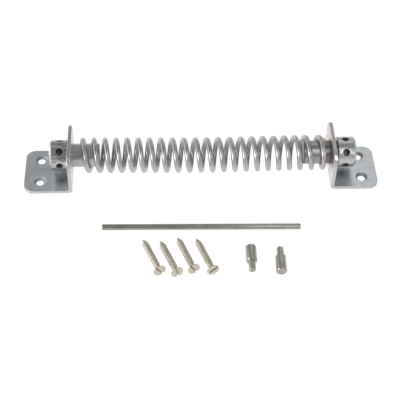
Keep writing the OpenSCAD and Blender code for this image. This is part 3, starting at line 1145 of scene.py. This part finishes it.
class GATECLOSER_OT_tommy_bar(Operator):
    """Make the loose winding bar"""

    bl_idname = "gate_closer.tommy_bar"
    bl_label = "Tommy bar"

    def execute(self, context):
        settings = context.scene.gate_closer
        sizes = settings.kit
        half = sizes.bar_length / 2
        profile = stepped((-half, half, sizes.bar / 2, sizes.bar_bevel, sizes.bar_bevel))
        mesh = turned_mesh("tommy_bar", softened(profile, sizes.edge), ROD_SEGMENTS)
        place = Matrix.Translation((BAR_LOW + BAR_HIGH) / 2)
        mesh.transform(place @ Matrix.Rotation(sizes.bar_turn, 4, "Z"))
        finish = bar_steel_finish(settings.finish)
        add_piece("tommy_bar_rod", mesh, finish, "tommy_bar", "tommy_bar", TURNED_SHARP)
        return {"FINISHED"}


class GATECLOSER_OT_locking_pins(Operator):
    """Make the two stepped pins"""

    bl_idname = "gate_closer.locking_pins"
    bl_label = "Locking pins"

    def execute(self, context):
        settings = context.scene.gate_closer
        sizes = settings.kit
        finish = pin_steel_finish(settings.finish)
        body = sizes.pin_body / 2
        half = (sizes.pin_body_length + sizes.pin_nose_length) / 2
        step = sizes.pin_body_length - half
        profile = stepped(
            (-half, step, body, sizes.pin_bevel, sizes.pin_bevel),
            (step, half, sizes.pin_nose / 2, 0.0, sizes.pin_bevel))
        for node, (x, y, turn) in PIN_PLACES.items():
            mesh = turned_mesh(node, softened(profile, sizes.edge), ROD_SEGMENTS)
            place = Matrix.Translation((MID_X + x, FRONT_Y + y, body))
            mesh.transform(place @ Matrix.Rotation(math.radians(turn) + QUARTER, 4, "Z"))
            add_piece(node + "_steel", mesh, finish, node, node, TURNED_SHARP)
        return {"FINISHED"}


# The ridge of a thread: half its width as a share of the pitch, how fast it grows in, and its least size
RIDGE_WIDTH = 0.36
RIDGE_GROWTH = 30.0
LEAST_RIDGE = 0.02


def thread_tree():
    """Nodes that wind a ridge round a screw's core, drawn in along the tip."""
    tree, given, result = new_tree(
        "screw thread", "GeometryNodeTree",
        {"Geometry": "Geometry", "Thread Diameter": "Float", "Core Diameter": "Float", "Pitch": "Float",
         "Thread Start": "Float", "Screw Length": "Float", "Tip Length": "Float", "Rings": "Int",
         "Finish": "Material"},
        {"Geometry": "Geometry"},
    )
    path, share = measured_line(tree, given["Rings"])
    start = given["Thread Start"]
    run = share * (given["Screw Length"] - start)
    turn = run / given["Pitch"] * math.tau
    drawn_in = ((given["Screw Length"] - start - run) / given["Tip Length"]).at_most(1.0)
    radius = given["Core Diameter"] / 2.0 * drawn_in
    helix = laid(tree, path, radius * turn.math("COSINE"), radius * turn.math("SINE"), start + run)
    upright = add_node(tree, "GeometryNodeSetCurveNormal", {"Curve": helix}, mode="Z_UP")

    diamond = add_node(tree, "GeometryNodeCurvePrimitiveCircle", {"Resolution": 4, "Radius": 1.0})
    depth = (given["Thread Diameter"] - given["Core Diameter"]) / 2.0
    shape = joined(tree, depth, given["Pitch"] * RIDGE_WIDTH, 1.0)
    section = add_node(tree, "GeometryNodeTransform", {"Geometry": diamond.outputs["Curve"], "Scale": shape})
    grown_in = (share * RIDGE_GROWTH).at_most(1.0)
    ridge = add_node(tree, "GeometryNodeCurveToMesh", {
        "Curve": upright.outputs["Curve"], "Profile Curve": section.outputs["Geometry"],
        "Scale": (drawn_in * grown_in).at_least(LEAST_RIDGE), "Fill Caps": True})
    both = tree.nodes.new("GeometryNodeJoinGeometry")
    for geometry in (given["Geometry"], ridge.outputs["Mesh"]):
        feed(tree, both.inputs["Geometry"], geometry)
    end_tree(tree, result, both.outputs["Geometry"], given["Finish"])
    return tree


# How squarely a face looks out of a screw's head to count as its flat
FLAT_FACING = 0.5


def screw_blank(sizes):
    """A slotted screw without its thread, standing on +Z with the top of its head at the origin."""
    head = sizes.head / 2
    core = sizes.screw_core / 2
    cone_end = sizes.head_rim + head - core
    profile = [
        (0.0, 0.0), (0.0, head), (sizes.head_rim, head), (cone_end, core),
        (sizes.screw_length - sizes.tip, core), (sizes.screw_length, 0.0)]
    blank = turned_mesh("screw", softened(profile, sizes.screw_edge), SCREW_SEGMENTS)
    blank.transform(Matrix.Rotation(-QUARTER, 4, "Y"))
    work = bmesh.new()
    bmesh.ops.create_cube(work, size=1.0)
    slot = meshed(work, "slot")
    slot.transform(Matrix.Diagonal((2 * sizes.head, sizes.slot, 2 * sizes.slot_depth, 1)))
    mesh = carved(blank, [slot])

    def flat_of_head(face):
        return float(face.center.z < sizes.head_rim and face.normal.z < -FLAT_FACING)

    mark_faces(mesh, "head", flat_of_head)
    return mesh


class GATECLOSER_OT_wood_screws(Operator):
    """Make the four slotted wood screws"""

    bl_idname = "gate_closer.wood_screws"
    bl_label = "Wood screws"

    rings_per_turn = 24

    def execute(self, context):
        settings = context.scene.gate_closer
        sizes = settings.kit
        finish = screw_nickel_finish(settings.finish)
        head = sizes.head / 2
        thread = sizes.screw / 2
        tilt = math.atan((head - thread) / (sizes.screw_length - sizes.tip - sizes.head_rim))
        height = head * math.cos(tilt) + sizes.head_rim * math.sin(tilt)
        start = sizes.head_rim + head - sizes.screw_core / 2 + sizes.neck
        turns = (sizes.screw_length - start) / sizes.thread_pitch
        tree = thread_tree()
        blank = screw_blank(sizes)
        screw = grown("screw", tree, {
            "Thread Diameter": sizes.screw,
            "Core Diameter": sizes.screw_core,
            "Pitch": sizes.thread_pitch,
            "Thread Start": start,
            "Screw Length": sizes.screw_length,
            "Tip Length": sizes.tip,
            "Rings": round(turns * self.rings_per_turn),
            "Finish": finish,
        }, blank)
        for node, (x, y, turn, slot_turn) in SCREW_PLACES.items():
            mesh = screw.copy()
            place = Matrix.Translation((MID_X + x, FRONT_Y + y, height))
            lie = Matrix.Rotation(math.radians(turn), 4, "Z") @ Matrix.Rotation(-QUARTER - tilt, 4, "X")
            mesh.transform(place @ lie @ Matrix.Rotation(math.radians(slot_turn), 4, "Z"))
            add_piece(node + "_nickel", mesh, finish, node, node)
        return {"FINISHED"}


# Stage

# Each soft box: its place from the middle of the span, its width and its height, in metres
SOFT_BOXES = {
    "left_softbox": ((-0.60, -0.10, 0.16), 1.1, 0.4),
    "streak_softbox": ((-0.48, -0.42, 0.22), 0.26, 0.3),
    "front_softbox": ((0.16, -0.28, 0.36), 0.13, 0.38),
    "back_softbox": ((0.22, 0.5, 0.57), 0.36, 0.4),
}


def add_softbox(name, watts):
    """A rectangular soft light that faces the middle of the spring."""
    (x, y, z), width, height = SOFT_BOXES[name]
    light = bpy.data.lights.new(name, "AREA")
    light.shape = "RECTANGLE"
    light.size = width
    light.size_y = height
    light.energy = watts
    lamp = new_object(name, light)
    place = Vector((MID_X + x, y, z))
    lamp.location = place
    lamp.rotation_euler = (Vector((MID_X, 0, AXIS_Z)) - place).to_track_quat("-Z", "Y").to_euler()


def add_camera(stage):
    """The camera at the photograph's angle."""
    data = bpy.data.cameras.new("camera")
    data.lens = stage.lens
    data.sensor_width = 36.0
    data.clip_start = 0.01
    camera = new_object("camera", data)
    back = Vector((0, -math.cos(stage.elevation), math.sin(stage.elevation)))
    level_up = Vector((0, math.sin(stage.elevation), math.cos(stage.elevation)))
    level_right = Vector((1, 0, 0))
    right = math.cos(stage.roll) * level_right - math.sin(stage.roll) * level_up
    up = math.sin(stage.roll) * level_right + math.cos(stage.roll) * level_up
    turned = Matrix((right, up, back)).transposed().to_4x4()
    aim = Vector((stage.aim_x, stage.aim_y, 0))
    heading = Matrix.Rotation(-stage.heading, 4, "Z")
    middle = Matrix.Translation((MID_X, 0, 0))
    camera.matrix_world = middle @ heading @ Matrix.Translation(aim + stage.distance * back) @ turned
    bpy.context.scene.camera = camera


# The studio's light by direction: the heights over which it turns grey, and that grey
OVERHEAD_SPAN = (0.02, 0.40)
OVERHEAD_GREY = (0.35, 0.363, 0.372, 1.0)
# How its level rises from front to back, and how it falls from left to right
BACK_SPAN = (-0.7, 0.3)
BACK_RISE = (0.65, 1.1)
RIGHT_SPAN = (-0.12, 0.05)
RIGHT_FALL = (1.15, 1.0)


def add_world():
    """A studio white along the horizon, bluish grey overhead, dimmer in front and brighter on the left."""
    world = bpy.data.worlds.new("studio")
    bpy.context.scene.world = world
    world.use_nodes = True
    tree = world.node_tree
    tree.nodes.clear()
    x, y, z = split(tree, tree.nodes.new("ShaderNodeTexCoord").outputs["Generated"])
    shade = blended(tree, z.ramp(*OVERHEAD_SPAN, kind="SMOOTHSTEP"), WHITE, OVERHEAD_GREY)
    level = y.ramp(*BACK_SPAN, *BACK_RISE) * x.ramp(*RIGHT_SPAN, *RIGHT_FALL)
    background = add_node(tree, "ShaderNodeBackground", {"Color": shade, "Strength": level})
    add_node(tree, "ShaderNodeOutputWorld", {"Surface": background.outputs["Background"]})


class GATECLOSER_OT_stage(Operator):
    """Set the floor, the lights, the studio and the camera"""

    bl_idname = "gate_closer.stage"
    bl_label = "Stage"

    floor_half = 3.0
    floor_drop = 0.05 * MM

    def execute(self, context):
        settings = context.scene.gate_closer
        stage = settings.stage
        work = bmesh.new()
        bmesh.ops.create_grid(work, x_segments=1, y_segments=1, size=self.floor_half)
        floor = new_object("floor", meshed(work, "floor"))
        floor.data.transform(Matrix.Translation((MID_X, 0, -self.floor_drop)))
        floor.data.materials.append(floor_finish(settings.finish))
        for name in SOFT_BOXES:
            add_softbox(name, getattr(stage, name))
        add_world()
        add_camera(stage)
        context.scene.view_settings.view_transform = "Standard"
        return {"FINISHED"}


OPERATORS = (
    GATECLOSER_OT_stage,
    GATECLOSER_OT_brackets,
    GATECLOSER_OT_spindles,
    GATECLOSER_OT_spring,
    GATECLOSER_OT_tommy_bar,
    GATECLOSER_OT_locking_pins,
    GATECLOSER_OT_wood_screws,
)


class GATECLOSER_PT_sidebar(Panel):
    """Lists the sizes and the pieces"""

    bl_idname = "GATECLOSER_PT_sidebar"
    bl_label = "Gate spring closer"
    bl_space_type = "VIEW_3D"
    bl_region_type = "UI"
    bl_category = "Gate closer"

    def draw(self, context):
        settings = context.scene.gate_closer
        for operator in OPERATORS:
            self.layout.operator(operator.bl_idname)
        for name in CloserSettings.__annotations__:
            box = self.layout.box()
            box.label(text=name.capitalize())
            group = getattr(settings, name)
            for size in group.__annotations__:
                box.prop(group, size)


CLASSES = (
    BracketSizes,
    SpindleSizes,
    SpringSizes,
    KitSizes,
    FinishColours,
    StageSettings,
    CloserSettings,
    *OPERATORS,
    GATECLOSER_PT_sidebar,
)


def register():
    for each in CLASSES:
        bpy.utils.register_class(each)
    bpy.types.Scene.gate_closer = PointerProperty(type=CloserSettings)


def unregister():
    del bpy.types.Scene.gate_closer
    for each in reversed(CLASSES):
        bpy.utils.unregister_class(each)


def main():
    register()
    bpy.ops.gate_closer.stage()
    bpy.ops.gate_closer.brackets()
    bpy.ops.gate_closer.spindles()
    bpy.ops.gate_closer.spring()
    bpy.ops.gate_closer.tommy_bar()
    bpy.ops.gate_closer.locking_pins()
    bpy.ops.gate_closer.wood_screws()


if __name__ == "__main__":
    main()
